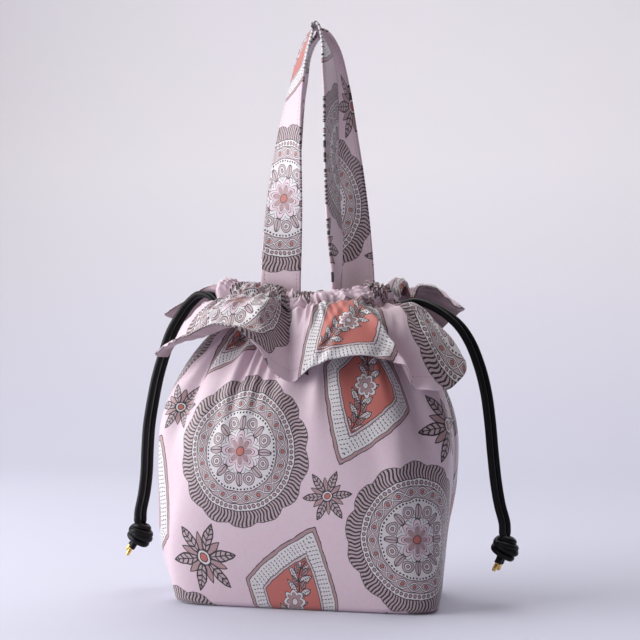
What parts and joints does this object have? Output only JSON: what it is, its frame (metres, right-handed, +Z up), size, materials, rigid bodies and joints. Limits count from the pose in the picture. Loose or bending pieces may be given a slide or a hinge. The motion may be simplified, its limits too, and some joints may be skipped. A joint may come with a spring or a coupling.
{
  "type": "drawstring bag",
  "caption": "Soft boxed-base fabric bag with a gathered neck, opposed drawcords in casings, turned-down ruffle flaps and standing strap handles.",
  "frame": {"origin": "on the floor, under the middle of the bag's base", "axes": "+Z up, +X to the bag's right as seen from the front, front towards -Y"},
  "size_m": [0.3019, 0.1462, 0.428],
  "materials": {
    "printed_cloth": "satin-faced printed cloth, pale pink ground with charcoal, terracotta and cream motifs",
    "plain_lining": "plain matt mauve cloth",
    "black_cord": "soft round black cord",
    "brass_tips": "polished brass"
  },
  "bodies": {
    "bag": {"body_front_panel": "printed_cloth", "body_back_panel": "printed_cloth", "front_casing": "printed_cloth", "back_casing": "printed_cloth", "front_ruffle": "printed_cloth", "back_ruffle": "printed_cloth", "front_handle_left_end": "printed_cloth", "front_handle_right_end": "printed_cloth", "back_handle_left_end": "printed_cloth", "back_handle_right_end": "printed_cloth", "lining_front_panel": "plain_lining", "lining_back_panel": "plain_lining", "front_ruffle_facing": "plain_lining", "back_ruffle_facing": "plain_lining", "left_cord_channel_loop": "black_cord", "right_cord_channel_loop": "black_cord"},
    "front_handle": {"front_handle": "printed_cloth"},
    "back_handle": {"back_handle": "printed_cloth"},
    "left_cord": {"left_cord_front_strand": "black_cord", "left_cord_back_strand": "black_cord", "left_knot": "black_cord", "left_front_tip": "brass_tips", "left_back_tip": "brass_tips"},
    "right_cord": {"right_cord_front_strand": "black_cord", "right_cord_back_strand": "black_cord", "right_knot": "black_cord", "right_front_tip": "brass_tips", "right_back_tip": "brass_tips"}
  },
  "joints": [
    {"name": "front_handle_fold", "type": "hinge", "parent": "bag", "child": "front_handle", "pos_m": [0, -0.0215, 0.2333], "axis": [1, 0, 0], "range_deg": [0, 90]},
    {"name": "back_handle_fold", "type": "hinge", "parent": "bag", "child": "back_handle", "pos_m": [0, 0.0215, 0.2333], "axis": [-1, 0, 0], "range_deg": [0, 90]},
    {"name": "left_cord_pull", "type": "slide", "parent": "bag", "child": "left_cord", "axis": [-1, 0, 0], "range_m": [0, 0.026]},
    {"name": "right_cord_pull", "type": "slide", "parent": "bag", "child": "right_cord", "axis": [1, 0, 0], "range_m": [0, 0.026]}
  ]
}
